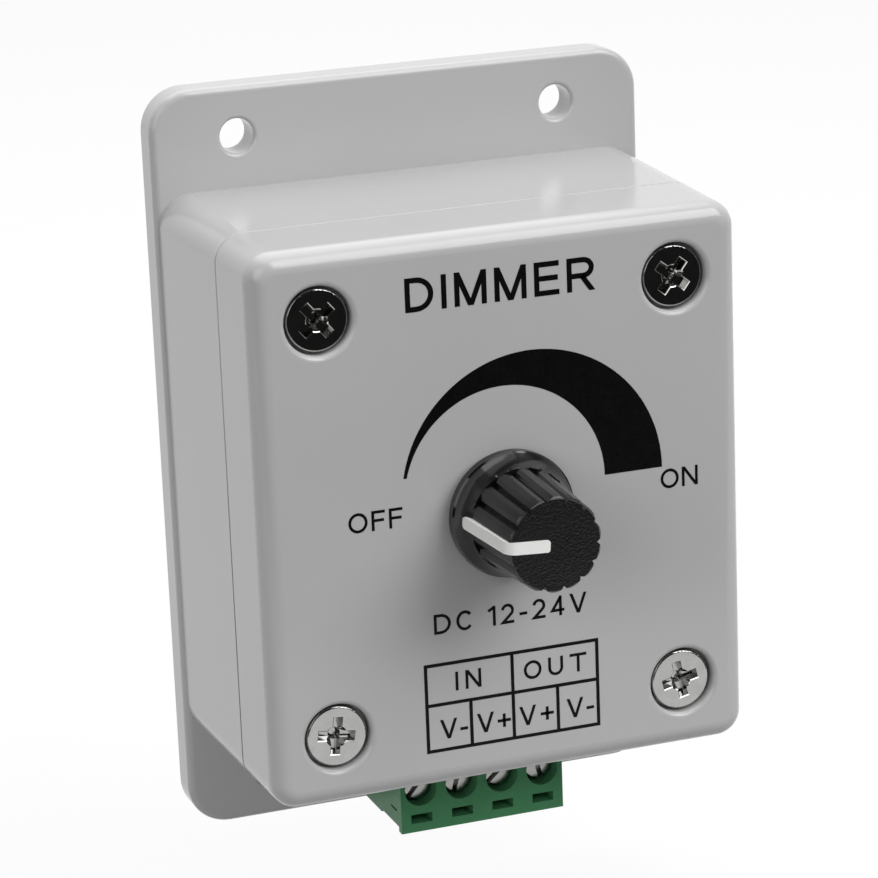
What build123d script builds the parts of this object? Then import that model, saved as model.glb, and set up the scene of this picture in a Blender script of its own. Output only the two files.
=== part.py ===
from build123d import *
from math import radians, tan
import os

# LED dimmer switch: a flanged wall box with a screwed-on cover, a rotary knob on a potentiometer and a
# four-pole terminal plug under the box. Sizes are in millimetres.
# Pieces are modelled lying on their back: x to the right, y up the wall, z out of the wall.
# On export they are stood up, so +Z is up, the wall is the plane Y = 0 and the front faces -Y.

# Wall flange
FLANGE_WIDTH = 59.2
FLANGE_HEIGHT = 88.0
FLANGE_THICKNESS = 3.9
FLANGE_CORNER = 4.9
FLANGE_EDGE = 0.8
HOLE_INSET = 10.2         # from the flange's sides
HOLE_DIAMETER = 4.0
HOLE_EDGE = 0.5

# Case: rear housing and front cover
CASE_WIDTH = 58.6         # at the wall, before the draft
CASE_HEIGHT = 64.8
CASE_CORNER = 4.0
CASE_DRAFT = 1.7
CASE_WALL = 1.9
CASE_FLOOR = 2.4
COVER_DEPTH = 11.0
COVER_EDGE = 2.2
SEAM_GAP = 0.2            # groove round the case where the cover starts
SEAM_DEPTH = 0.6
SEAM_BEVEL = 0.15
TONGUE_WIDTH = 1.0
TONGUE_HEIGHT = 1.5

# Clearances
FIT = 0.1           # pieces that slot together
SNUG = 0.02         # pieces that grip each other
TURN_GAP = 0.03     # shaft in its bushing, on the radius
SLIDE_GAP = 0.3     # plug in its window and its socket

# Cover screws, their wells in the cover and their pillars in the housing
SCREW_INSET_X = 8.65      # from the case's sides
SCREW_INSET_Z = 8.8
SCREW_DIAMETER = 3.5
SCREW_LENGTH = 19.0
SCREW_POINT = 0.9
SCREW_HEAD_DIAMETER = 7.0
SCREW_HEAD_HEIGHT = 1.5
SCREW_HEAD_EDGE = 0.25
SCREW_SUNK = 0.75
SCREW_HOLE_PLAY = 0.2
WELL_PLAY = 0.35          # round the screw head
WELL_RIM = 0.6
CROSS_LENGTH = 4.3
CROSS_WIDTH = 1.1
CROSS_DEPTH = 1.2
CROSS_DRAFT = 8
CROSS_CORE = 2.5          # cone that opens the middle of the cross
CROSS_CORE_TIP = 0.8
CROSS_CORE_DEPTH = 1.9
CROSS_EDGE = 0.08
CROSS_TURNS = (40, 52, -8, 12)      # top left, top right, bottom left, bottom right
PILLAR_DIAMETER = 8.0
PILLAR_DROP = 2.0
BOSS_WALL = 0.9

# Circuit board on stand-offs
BOARD_CLEARANCE = 1.5     # to the housing's walls
BOARD_THICKNESS = 1.6
BOARD_GAP = 0.8
BOARD_CORNER = 1.5
STANDOFF_HEIGHT = 3.4
STANDOFF_DIAMETER = 5.0
STANDOFF_INSET = 4.0      # from the board's sides
STANDOFF_SPACING_Z = 28.0
BOARD_SCREW_DIAMETER = 2.2
BOARD_SCREW_LENGTH = 5.0
BOARD_SCREW_HEAD = 4.2
BOARD_SCREW_HEAD_HEIGHT = 1.6
BOARD_SCREW_HEAD_EDGE = 0.5
PILOT_SPARE = 0.5

# Component leads and their holes
LEAD_SIZE = 0.6
LEAD_TAIL = 1.6
LEAD_HOLE = 1.1

# Potentiometer
SHAFT_DROP = 0.25         # shaft axis below the middle of the cover
POT_DIAMETER = 16.6
POT_CAN_DEPTH = 6.0
POT_CAN_WALL = 0.4
POT_WAFER = 1.2
POT_PLATE = 1.2
POT_TAB_WIDTH = 14.0
POT_TAB_REACH = 11.6
POT_TERMINAL_COUNT = 3
POT_TERMINAL_PITCH = 5.0
POT_TERMINAL_WIDTH = 1.3
POT_TERMINAL_THICKNESS = 0.4
POT_LEG_HOLE = 1.6
BUSHING_DIAMETER = 7.0
BUSHING_LENGTH = 7.0
SHAFT_DIAMETER = 6.0
SHAFT_ACROSS_FLAT = 4.5
SHAFT_FLAT_LENGTH = 9.0
SHAFT_HOLE_PLAY = 0.7
ROTOR_THICKNESS = 2.0
WIPER_ROOM = 0.8
WIPER_THICKNESS = 0.25
WIPER_WIDTH = 1.6
STOP_WIDTH = 3.0
STOP_REACH = 1.1

# Knob
KNOB_GAP = 0.9
KNOB_HEIGHT = 13.3
KNOB_REST_TURN = -3.5     # pointer a little above level, towards OFF
KNOB_TOP_WALL = 1.8
SKIRT_DIAMETER = 14.4
SKIRT_HEIGHT = 1.2
SKIRT_EDGE = 0.2
SKIRT_WALL = 1.2
FLARE_HEIGHT = 2.4
FLARE_HOLLOW = 0.08
GRIP_BASE_DIAMETER = 11.7
GRIP_TOP_DIAMETER = 10.7
GRIP_EDGE = 0.25
HUB_DIAMETER = 9.0
HOLLOW_HEIGHT = 2.4
FLUTES = 14
FLUTE_WIDTH = 0.7
FLUTE_DEPTH = 0.6
FLUTE_OVERCUT = 0.6
LOBE_WIDTH = 2.3          # where the rounding beside a flute ends
LOBE_DROP = 0.2
FLUTE_RUNOUT = 0.2        # into the flare
POINTER_WIDTH = 1.35
POINTER_PROUD = 0.25
POINTER_SEAT = 0.7
POINTER_INNER_END = 0.7
POINTER_FOOT_INSET = 0.75 # from the skirt's outside
POINTER_FOOT_HEIGHT = 1.0
POINTER_FOOT_DEPTH = 1.8
POINTER_FOOT_ROUND = 0.5
POINTER_BEND = 1.3
POINTER_ROUND = 0.3

# Terminal plug
WAYS = 4
PITCH = 5.0
PLUG_DEPTH = 15.0
PLUG_LIFT = 0.9
PLUG_REACH = 8.7
PLUG_LIP = 1.0
PLUG_LIP_DROP = 0.6
PLUG_STEP_DEPTH = 7.0
PLUG_STEP_DROP = 0.3
SLIT_LENGTH = 2.0
SLIT_WIDTH = 0.25
SLIT_FROM_FRONT = 1.5
SLIT_FROM_END = 2.4
NOSE_LIFT = 1.3
NOSE_DEPTH = 5.8
NOSE_LENGTH = 6.4
NOSE_SIDE = 0.6
CLAMP_FROM_END = 5.1
CLAMP_WELL_PLAY = 0.2     # round the clamp screw's head
CLAMP_FLOOR = 0.8
ENTRY_WIDTH = 3.0
SLOT_FROM_END = 1.6
SLOT_WIDTH = 2.6
SLOT_HEIGHT = 1.1
SLOT_DEPTH = 2.5

# Wire clamps in the plug
SLEEVE_LENGTH = 5.0
SLEEVE_SIDE = 0.5
SLEEVE_FLOOR = 0.8
SLEEVE_ROOF = 1.2
SLEEVE_TRAVEL = 2.5
WIRE_ROOM = 3.1
BAR_WIDTH = 2.4
BAR_THICKNESS = 0.8
HEAD_ROOM = 2.1
BLADE_THICKNESS = 0.5
CLAMP_SCREW_DIAMETER = 2.8
CLAMP_HEAD_DIAMETER = 3.5
CLAMP_HEAD_HEIGHT = 1.8
CLAMP_HEAD_EDGE = 0.25
CLAMP_SLOT_WIDTH = 0.6
CLAMP_SLOT_DEPTH = 0.8
CLAMP_SLOT_TURNS = (50, 75, 42, 105)

# Header socket on the board
PIN_SIZE = 1.0
PIN_PLAY = 0.15
PIN_SHORT = 1.5
PIN_BEND = 1.5
HEADER_WALL = 0.9
HEADER_BACK = 2.5
HEADER_SPARE = 0.6

# Circuit components
TRANSISTOR_FROM_LEFT = 8.0
TRANSISTOR_DROP = 2.0
TRANSISTOR_BODY = (10.0, 9.0, 3.2)
TRANSISTOR_EDGE = 0.6
TRANSISTOR_TAB = (10.0, 15.4, 1.3)
TRANSISTOR_TAB_HOLE = 3.5
TRANSISTOR_LEAD_COUNT = 3
TRANSISTOR_LEAD_PITCH = 2.54
TRANSISTOR_LEAD_REACH = 4.0
CHIP_FROM_TOP = 7.5
CHIP_BODY = (9.6, 6.4, 3.3)
CHIP_EDGE = 0.55
CHIP_NOTCH_DIAMETER = 1.6
CHIP_NOTCH_DEPTH = 0.4
CHIP_LIFT = 0.5
CHIP_LEADS_A_SIDE = 4
CHIP_LEAD_PITCH = 2.54
CHIP_ROW_SPACING = 7.62
CAPACITOR_FROM_RIGHT = 8.5
CAPACITOR_RISE = 5.0
CAPACITOR_DIAMETER = 8.0
CAPACITOR_HEIGHT = 11.5
CAPACITOR_LEAD_PITCH = 3.5
CAPACITOR_EDGE = 0.6
DIODE_FROM_RIGHT = 8.0
DIODE_DROP = 8.0
DIODE_DIAMETER = 2.7
DIODE_LENGTH = 5.2
DIODE_LEAD_SPACING = 10.0
RESISTORS = 4
RESISTOR_FROM_CHIP = 9.2
RESISTOR_FROM_TOP = 4.5
RESISTOR_PITCH = 3.4
RESISTOR_DIAMETER = 2.3
RESISTOR_LENGTH = 6.0
RESISTOR_LEAD_SPACING = 7.62
FILMS = 2
FILM_FROM_CHIP = 10.0
FILM_FROM_TOP = 5.5
FILM_PITCH = 6.0
FILM_BODY = (7.2, 2.6, 6.0)
FILM_EDGE = 0.65
FILM_LEAD_PITCH = 5.0

# Places that follow from the sizes
BOARD_BACK = CASE_FLOOR + STANDOFF_HEIGHT
BOARD_FRONT = BOARD_BACK + BOARD_THICKNESS
LEAD_END = BOARD_BACK - LEAD_TAIL
PLUG_WIDTH = WAYS * PITCH
PLUG_BACK = BOARD_FRONT + PLUG_LIFT
PLUG_FRONT = PLUG_BACK + PLUG_DEPTH
REAR_DEPTH = PLUG_FRONT + SLIDE_GAP
FACE = REAR_DEPTH + COVER_DEPTH
INNER_FACE = FACE - CASE_WALL
SEAM_TAPER = REAR_DEPTH * tan(radians(CASE_DRAFT))
FACE_TAPER = FACE * tan(radians(CASE_DRAFT))
INNER_WIDTH = CASE_WIDTH - 2 * (FACE_TAPER + CASE_WALL)
INNER_HEIGHT = CASE_HEIGHT - 2 * (FACE_TAPER + CASE_WALL)
INNER_CORNER = CASE_CORNER - CASE_WALL
HOLE_SPACING_X = FLANGE_WIDTH - 2 * HOLE_INSET
HOLE_SPACING_Z = (FLANGE_HEIGHT + CASE_HEIGHT) / 2
SCREW_SPACING_X = CASE_WIDTH - 2 * SCREW_INSET_X
SCREW_SPACING_Z = CASE_HEIGHT - 2 * SCREW_INSET_Z
WELL_DIAMETER = SCREW_HEAD_DIAMETER + 2 * WELL_PLAY
BOARD_WIDTH = INNER_WIDTH - 2 * BOARD_CLEARANCE
BOARD_HEIGHT = INNER_HEIGHT - 2 * BOARD_CLEARANCE
STANDOFF_SPACING_X = BOARD_WIDTH - 2 * STANDOFF_INSET
PILLAR_TOP = REAR_DEPTH - PILLAR_DROP
SCREW_SEAT = FACE - SCREW_SUNK - SCREW_HEAD_HEIGHT
SCREW_TIP = SCREW_SEAT - SCREW_LENGTH
ROTOR_DIAMETER = POT_DIAMETER - 2 * (POT_CAN_WALL + STOP_REACH + SLIDE_GAP)
WAFER_BACK = BOARD_FRONT + POT_CAN_DEPTH
PLATE_BACK = WAFER_BACK + POT_WAFER
BUSHING_BACK = PLATE_BACK + POT_PLATE
ROTOR_FRONT = WAFER_BACK - WIPER_ROOM
ROTOR_BACK = ROTOR_FRONT - ROTOR_THICKNESS
KNOB_BASE = FACE + KNOB_GAP
KNOB_TOP = KNOB_BASE + KNOB_HEIGHT
SHAFT_TIP = KNOB_TOP - KNOB_TOP_WALL
POINTER_FOOT_REACH = SKIRT_DIAMETER / 2 - POINTER_FOOT_INSET
PLUG_END = -CASE_HEIGHT / 2 - PLUG_REACH
SOCKET_MOUTH = -INNER_HEIGHT / 2 + FIT
SHOULDER = SOCKET_MOUTH - FIT
NOSE_BACK = PLUG_BACK + NOSE_LIFT
NOSE_FRONT = NOSE_BACK + NOSE_DEPTH
NOSE_TIP = SHOULDER + NOSE_LENGTH
NOSE_HALF = PLUG_WIDTH / 2 - NOSE_SIDE
CLAMP_Y = PLUG_END + CLAMP_FROM_END
CLAMP_WELL_DIAMETER = CLAMP_HEAD_DIAMETER + 2 * CLAMP_WELL_PLAY
SLEEVE_WIDTH = CLAMP_SCREW_DIAMETER + 2 * (FIT + SLEEVE_SIDE)
SLEEVE_BACK = PLUG_BACK + CLAMP_FLOOR + FIT
BAR_BACK = SLEEVE_BACK + SLEEVE_FLOOR + WIRE_ROOM
BAR_FRONT = BAR_BACK + BAR_THICKNESS
SLEEVE_FRONT = BAR_FRONT + HEAD_ROOM + SLEEVE_ROOF
CLAMP_CEILING = SLEEVE_FRONT + SLEEVE_TRAVEL + FIT
CLAMP_HEAD_BACK = CLAMP_CEILING + FIT
PIN_FRONT = BAR_BACK - PIN_PLAY
PIN_BACK = PIN_FRONT - PIN_SIZE
BLADE_FRONT = PIN_BACK - PIN_PLAY
BLADE_BACK = BLADE_FRONT - BLADE_THICKNESS
CAVITY_LOW = CLAMP_Y - SLEEVE_LENGTH / 2 - FIT
CAVITY_HIGH = CLAMP_Y + SLEEVE_LENGTH / 2 + FIT
SOCKET_FLOOR = SOCKET_MOUTH + NOSE_LENGTH + HEADER_SPARE
HEADER_TOP = SOCKET_FLOOR + HEADER_BACK
PIN_LEG_Y = HEADER_TOP + PIN_BEND
PIN_HOLE = PIN_SIZE * 2 ** 0.5 + 2 * FIT
WAY_X = [(way - (WAYS - 1) / 2) * PITCH for way in range(WAYS)]


def block(x_low, x_high, y_low, y_high, z_low, z_high):
    """Box between two corners."""
    middle = Pos((x_low + x_high) / 2, (y_low + y_high) / 2, (z_low + z_high) / 2)
    return middle * Box(x_high - x_low, y_high - y_low, z_high - z_low)


def rod(x, y, z_low, z_high, diameter):
    """Round bar that points out of the wall."""
    return Pos(x, y, (z_low + z_high) / 2) * Cylinder(diameter / 2, z_high - z_low)


def rounded_slab(width, height, corner, z_low, z_high):
    """Slab with rounded corners, centred on the z axis."""
    outline = Pos(0, 0, z_low) * RectangleRounded(width, height, corner)
    return extrude(outline, amount=z_high - z_low)


def front_edges(solid):
    return solid.faces().sort_by(Axis.Z)[-1].edges()


def back_edges(solid):
    return solid.faces().sort_by(Axis.Z)[0].edges()


def corners(spacing_x, spacing_y):
    """Top left, top right, bottom left and bottom right."""
    return [(x * spacing_x / 2, y * spacing_y / 2) for y in (1, -1) for x in (-1, 1)]


def fuse(pieces):
    whole = pieces[0]
    for piece in pieces[1:]:
        whole += piece
    return whole


SCREW_PLACES = corners(SCREW_SPACING_X, SCREW_SPACING_Z)
STANDOFF_PLACES = corners(STANDOFF_SPACING_X, STANDOFF_SPACING_Z)


# Case

def case_slice(z_low, z_high):
    """Slice of the drafted case outside, which rear housing and cover share."""
    outside = extrude(RectangleRounded(CASE_WIDTH, CASE_HEIGHT, CASE_CORNER), amount=FACE, taper=CASE_DRAFT)
    outside = fillet(front_edges(outside), COVER_EDGE)
    return outside & block(-CASE_WIDTH, CASE_WIDTH, -CASE_HEIGHT, CASE_HEIGHT, z_low, z_high)


def make_rear_housing():
    flange = rounded_slab(FLANGE_WIDTH, FLANGE_HEIGHT, FLANGE_CORNER, 0, FLANGE_THICKNESS)
    flange = fillet(front_edges(flange), FLANGE_EDGE)
    tongue = rounded_slab(INNER_WIDTH + 2 * TONGUE_WIDTH, INNER_HEIGHT + 2 * TONGUE_WIDTH,
                          INNER_CORNER + TONGUE_WIDTH, CASE_FLOOR, REAR_DEPTH + TONGUE_HEIGHT)
    walls = case_slice(0, REAR_DEPTH)
    walls = chamfer(front_edges(walls), SEAM_BEVEL)
    housing = flange + walls + tongue
    housing -= rounded_slab(INNER_WIDTH, INNER_HEIGHT, INNER_CORNER, CASE_FLOOR, REAR_DEPTH + TONGUE_HEIGHT)
    for x, y in SCREW_PLACES:
        housing += rod(x, y, CASE_FLOOR, PILLAR_TOP, PILLAR_DIAMETER)
        housing -= rod(x, y, SCREW_TIP - PILOT_SPARE, PILLAR_TOP, SCREW_DIAMETER + 2 * SNUG)
    for x, y in STANDOFF_PLACES:
        housing += rod(x, y, CASE_FLOOR, BOARD_BACK, STANDOFF_DIAMETER)
        pilot_end = BOARD_FRONT - BOARD_SCREW_LENGTH - PILOT_SPARE
        housing -= rod(x, y, pilot_end, BOARD_BACK, BOARD_SCREW_DIAMETER + 2 * SNUG)
    for x, y in corners(HOLE_SPACING_X, HOLE_SPACING_Z):
        housing -= rod(x, y, 0, FLANGE_THICKNESS, HOLE_DIAMETER)
    front = housing.edges().filter_by(GeomType.CIRCLE)
    front = front.filter_by_position(Axis.Z, FLANGE_THICKNESS - FIT, FLANGE_THICKNESS + FIT)
    housing = fillet([edge for edge in front if edge.is_closed], HOLE_EDGE)
    window_half = PLUG_WIDTH / 2 + SLIDE_GAP
    housing -= block(-window_half, window_half, -CASE_HEIGHT / 2, -INNER_HEIGHT / 2,
                     PLUG_BACK - SLIDE_GAP, PLUG_FRONT + SLIDE_GAP)
    return housing


def make_front_cover():
    seam = SEAM_TAPER + SEAM_DEPTH
    groove = rounded_slab(CASE_WIDTH, CASE_HEIGHT, CASE_CORNER, REAR_DEPTH, REAR_DEPTH + SEAM_GAP)
    groove -= rounded_slab(CASE_WIDTH - 2 * seam, CASE_HEIGHT - 2 * seam, CASE_CORNER - SEAM_DEPTH,
                           REAR_DEPTH, REAR_DEPTH + SEAM_GAP)
    cover = case_slice(REAR_DEPTH, FACE) - groove
    cover -= rounded_slab(INNER_WIDTH, INNER_HEIGHT, INNER_CORNER, REAR_DEPTH, INNER_FACE)
    rebate = TONGUE_WIDTH + FIT
    cover -= rounded_slab(INNER_WIDTH + 2 * rebate, INNER_HEIGHT + 2 * rebate, INNER_CORNER + rebate,
                          REAR_DEPTH, REAR_DEPTH + TONGUE_HEIGHT + FIT)
    for x, y in SCREW_PLACES:
        cover += rod(x, y, PILLAR_TOP, INNER_FACE, WELL_DIAMETER + 2 * BOSS_WALL)
        cover -= rod(x, y, PILLAR_TOP, FACE, SCREW_DIAMETER + 2 * SCREW_HOLE_PLAY)
        cover -= rod(x, y, SCREW_SEAT, FACE, WELL_DIAMETER)
    rims = cover.edges().filter_by(GeomType.CIRCLE).filter_by_position(Axis.Z, FACE - FIT, FACE + FIT)
    cover = fillet(rims, WELL_RIM)
    cover -= rod(0, -SHAFT_DROP, INNER_FACE, FACE, SHAFT_DIAMETER + 2 * SHAFT_HOLE_PLAY)
    return cover


def make_cover_screws():
    head = Pos(0, 0, SCREW_HEAD_HEIGHT / 2) * Cylinder(SCREW_HEAD_DIAMETER / 2, SCREW_HEAD_HEIGHT)
    head = fillet(front_edges(head), SCREW_HEAD_EDGE)
    cross = Rectangle(CROSS_LENGTH, CROSS_WIDTH) + Rectangle(CROSS_WIDTH, CROSS_LENGTH)
    cross = extrude(Pos(0, 0, SCREW_HEAD_HEIGHT) * cross, amount=-CROSS_DEPTH, taper=CROSS_DRAFT)
    core = Cone(CROSS_CORE_TIP / 2, CROSS_CORE / 2, CROSS_CORE_DEPTH)
    core = Pos(0, 0, SCREW_HEAD_HEIGHT - CROSS_CORE_DEPTH / 2) * core
    screw = head + rod(0, 0, -SCREW_LENGTH, 0, SCREW_DIAMETER) - cross - core
    screw = chamfer(back_edges(screw), SCREW_POINT)
    recess = screw.faces().sort_by(Axis.Z)[-1].inner_wires()[0]
    screw = chamfer(recess.edges(), CROSS_EDGE)
    return [Pos(x, y, SCREW_SEAT) * Rot(0, 0, turn) * screw
            for (x, y), turn in zip(SCREW_PLACES, CROSS_TURNS)]


# Circuit board

def lead(x, y, top):
    """Square lead from a component down through the board."""
    half = LEAD_SIZE / 2
    return block(x - half, x + half, y - half, y + half, LEAD_END, top)


def in_row(place, spacing, count):
    """Points in a row along x, centred on a place."""
    x, y = place
    return [(x + (index - (count - 1) / 2) * spacing, y) for index in range(count)]


def shifted(place, x, y):
    return (place[0] + x, place[1] + y)


LEFT_SIDE = -BOARD_WIDTH / 2
RIGHT_SIDE = BOARD_WIDTH / 2
TOP_SIDE = BOARD_HEIGHT / 2
TRANSISTOR_PLACE = (LEFT_SIDE + TRANSISTOR_FROM_LEFT, -TRANSISTOR_DROP)
CHIP_PLACE = (0, TOP_SIDE - CHIP_FROM_TOP)
CAPACITOR_PLACE = (RIGHT_SIDE - CAPACITOR_FROM_RIGHT, CAPACITOR_RISE)
DIODE_PLACE = (RIGHT_SIDE - DIODE_FROM_RIGHT, -DIODE_DROP)
RESISTOR_PLACES = [(-RESISTOR_FROM_CHIP, TOP_SIDE - RESISTOR_FROM_TOP - row * RESISTOR_PITCH)
                   for row in range(RESISTORS)]
FILM_PLACES = [(FILM_FROM_CHIP, TOP_SIDE - FILM_FROM_TOP - row * FILM_PITCH) for row in range(FILMS)]
CHIP_LEADS = [point for side in (-1, 1) for point in
              in_row(shifted(CHIP_PLACE, 0, side * CHIP_ROW_SPACING / 2),
                     CHIP_LEAD_PITCH, CHIP_LEADS_A_SIDE)]
TRANSISTOR_LEAD_DROP = TRANSISTOR_BODY[1] / 2 + TRANSISTOR_LEAD_REACH
TRANSISTOR_LEADS = in_row(shifted(TRANSISTOR_PLACE, 0, -TRANSISTOR_LEAD_DROP), TRANSISTOR_LEAD_PITCH,
                          TRANSISTOR_LEAD_COUNT)
CAPACITOR_LEADS = in_row(CAPACITOR_PLACE, CAPACITOR_LEAD_PITCH, 2)
DIODE_LEADS = in_row(DIODE_PLACE, DIODE_LEAD_SPACING, 2)
RESISTOR_LEADS = [point for place in RESISTOR_PLACES for point in in_row(place, RESISTOR_LEAD_SPACING, 2)]
FILM_LEADS = [point for place in FILM_PLACES for point in in_row(place, FILM_LEAD_PITCH, 2)]
POT_LEG_Y = POT_TAB_REACH - POT_TERMINAL_THICKNESS / 2
POT_LEGS = in_row((0, POT_LEG_Y), POT_TERMINAL_PITCH, POT_TERMINAL_COUNT)


def make_circuit_board():
    board = rounded_slab(BOARD_WIDTH, BOARD_HEIGHT, BOARD_CORNER, BOARD_BACK, BOARD_FRONT)
    notch_x = SCREW_SPACING_X / 2 - PILLAR_DIAMETER / 2 - BOARD_GAP
    notch_y = SCREW_SPACING_Z / 2 - PILLAR_DIAMETER / 2 - BOARD_GAP
    for x, y in corners(CASE_WIDTH / 2 + notch_x, CASE_HEIGHT / 2 + notch_y):
        width = CASE_WIDTH / 2 - notch_x
        height = CASE_HEIGHT / 2 - notch_y
        notch = Pos(x, y, 0) * rounded_slab(width, height, BOARD_CORNER, BOARD_BACK, BOARD_FRONT)
        board -= notch
    for x, y in STANDOFF_PLACES:
        board -= rod(x, y, BOARD_BACK, BOARD_FRONT, BOARD_SCREW_DIAMETER + 2 * FIT)
    small_holes = CHIP_LEADS + TRANSISTOR_LEADS + CAPACITOR_LEADS + DIODE_LEADS + RESISTOR_LEADS + FILM_LEADS
    for x, y in small_holes:
        board -= rod(x, y, BOARD_BACK, BOARD_FRONT, LEAD_HOLE)
    for x, y in POT_LEGS:
        board -= rod(x, y - SHAFT_DROP, BOARD_BACK, BOARD_FRONT, POT_LEG_HOLE)
    for x in WAY_X:
        board -= rod(x, PIN_LEG_Y, BOARD_BACK, BOARD_FRONT, PIN_HOLE)
    return board


def make_board_screws():
    screw = rod(0, 0, 0, BOARD_SCREW_HEAD_HEIGHT, BOARD_SCREW_HEAD)
    screw = chamfer(front_edges(screw), BOARD_SCREW_HEAD_EDGE)
    screw += rod(0, 0, -BOARD_SCREW_LENGTH, 0, BOARD_SCREW_DIAMETER)
    return [Pos(x, y, BOARD_FRONT) * screw for x, y in STANDOFF_PLACES]


def make_transistor_tab():
    x, y = TRANSISTOR_PLACE
    width, length, thickness = TRANSISTOR_TAB
    low = y - TRANSISTOR_BODY[1] / 2
    tab = block(x - width / 2, x + width / 2, low, low + length, BOARD_FRONT, BOARD_FRONT + thickness)
    hole_y = (low + length + y + TRANSISTOR_BODY[1] / 2) / 2
    return tab - rod(x, hole_y, BOARD_FRONT, BOARD_FRONT + thickness, TRANSISTOR_TAB_HOLE)


def make_switch_transistor():
    x, y = TRANSISTOR_PLACE
    width, length, thickness = TRANSISTOR_BODY
    low = BOARD_FRONT + TRANSISTOR_TAB[2]
    body = block(x - width / 2, x + width / 2, y - length / 2, y + length / 2, low, low + thickness)
    body = chamfer(front_edges(body), TRANSISTOR_EDGE)
    lead_low = low + LEAD_SIZE
    lead_high = lead_low + LEAD_SIZE
    for lead_x, lead_y in TRANSISTOR_LEADS:
        half = LEAD_SIZE / 2
        body += block(lead_x - half, lead_x + half, lead_y - half, y - length / 2, lead_low, lead_high)
        body += lead(lead_x, lead_y, lead_high)
    return body


def make_timer_chip():
    x, y = CHIP_PLACE
    width, length, thickness = CHIP_BODY
    low = BOARD_FRONT + CHIP_LIFT
    chip = block(x - width / 2, x + width / 2, y - length / 2, y + length / 2, low, low + thickness)
    chip = chamfer(front_edges(chip), CHIP_EDGE)
    top = low + thickness
    return chip - rod(x + CHIP_EDGE - width / 2, y, top - CHIP_NOTCH_DEPTH, top, CHIP_NOTCH_DIAMETER)


def make_chip_legs():
    y = CHIP_PLACE[1]
    shoulder = BOARD_FRONT + CHIP_LIFT + CHIP_BODY[2] / 2
    legs = []
    for lead_x, lead_y in CHIP_LEADS:
        side = 1 if lead_y > y else -1
        inner = y + side * CHIP_BODY[1] / 2
        outer = lead_y + side * LEAD_SIZE / 2
        half = LEAD_SIZE / 2
        arm = block(lead_x - half, lead_x + half, min(inner, outer), max(inner, outer),
                    shoulder - half, shoulder + half)
        legs.append(arm + lead(lead_x, lead_y, shoulder + half))
    return legs


def make_filter_capacitor():
    x, y = CAPACITOR_PLACE
    top = BOARD_FRONT + CAPACITOR_HEIGHT
    can = rod(x, y, BOARD_FRONT, top, CAPACITOR_DIAMETER)
    can = chamfer(front_edges(can), CAPACITOR_EDGE)
    return fuse([can] + [lead(lead_x, lead_y, BOARD_FRONT) for lead_x, lead_y in CAPACITOR_LEADS])


def lying_component(place, diameter, length, leads):
    """Round component that lies along x on the board, with a lead bent down at each end."""
    x, y = place
    axis = BOARD_FRONT + diameter / 2
    body = Pos(x, y, axis) * Rot(0, 90, 0) * Cylinder(diameter / 2, length)
    half = LEAD_SIZE / 2
    low_x = leads[0][0] - half
    high_x = leads[-1][0] + half
    wire = block(low_x, high_x, y - half, y + half, axis - half, axis + half)
    return fuse([body, wire] + [lead(lead_x, lead_y, axis) for lead_x, lead_y in leads])


def make_flyback_diode():
    return lying_component(DIODE_PLACE, DIODE_DIAMETER, DIODE_LENGTH, DIODE_LEADS)


def make_resistors():
    return [lying_component(place, RESISTOR_DIAMETER, RESISTOR_LENGTH,
                            in_row(place, RESISTOR_LEAD_SPACING, 2)) for place in RESISTOR_PLACES]


def make_film_capacitors():
    width, length, height = FILM_BODY
    bodies = []
    for x, y in FILM_PLACES:
        body = block(x - width / 2, x + width / 2, y - length / 2, y + length / 2,
                     BOARD_FRONT, BOARD_FRONT + height)
        body = fillet(body.edges().filter_by(Axis.Z), FILM_EDGE)
        leads = [lead(lead_x, lead_y, BOARD_FRONT) for lead_x, lead_y in in_row((x, y), FILM_LEAD_PITCH, 2)]
        bodies.append(fuse([body] + leads))
    return bodies


# Potentiometer

def make_pot_can():
    inner = POT_DIAMETER - 2 * POT_CAN_WALL
    can = rod(0, 0, BOARD_FRONT, WAFER_BACK, POT_DIAMETER)
    can -= rod(0, 0, BOARD_FRONT + POT_CAN_WALL, WAFER_BACK, inner)
    stop_tip = STOP_REACH + POT_CAN_WALL - POT_DIAMETER / 2
    stop = block(-STOP_WIDTH / 2, STOP_WIDTH / 2, -POT_DIAMETER / 2, stop_tip, ROTOR_BACK, ROTOR_FRONT)
    return can + (stop & rod(0, 0, ROTOR_BACK, ROTOR_FRONT, POT_DIAMETER))


def make_pot_wafer():
    half = POT_TAB_WIDTH / 2
    wafer = rod(0, 0, WAFER_BACK, PLATE_BACK, POT_DIAMETER)
    wafer += block(-half, half, 0, POT_TAB_REACH, WAFER_BACK, PLATE_BACK)
    return wafer - rod(0, 0, WAFER_BACK, PLATE_BACK, SHAFT_DIAMETER + 2 * SLIDE_GAP)


def make_pot_bushing():
    bushing = rod(0, 0, PLATE_BACK, BUSHING_BACK, POT_DIAMETER)
    neck = rod(0, 0, BUSHING_BACK, BUSHING_BACK + BUSHING_LENGTH, BUSHING_DIAMETER)
    bushing += chamfer(front_edges(neck), POT_CAN_WALL)
    return bushing - rod(0, 0, PLATE_BACK, BUSHING_BACK + BUSHING_LENGTH, SHAFT_DIAMETER + 2 * TURN_GAP)


def make_pot_terminals():
    half = POT_TERMINAL_WIDTH / 2
    thickness = POT_TERMINAL_THICKNESS
    terminals = []
    for x, y in POT_LEGS:
        pad = block(x - half, x + half, POT_DIAMETER / 2 + FIT, POT_TAB_REACH,
                    WAFER_BACK - thickness, WAFER_BACK)
        leg = block(x - half, x + half, y - thickness / 2, y + thickness / 2, LEAD_END, WAFER_BACK)
        terminals.append(pad + leg)
    return terminals


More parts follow.
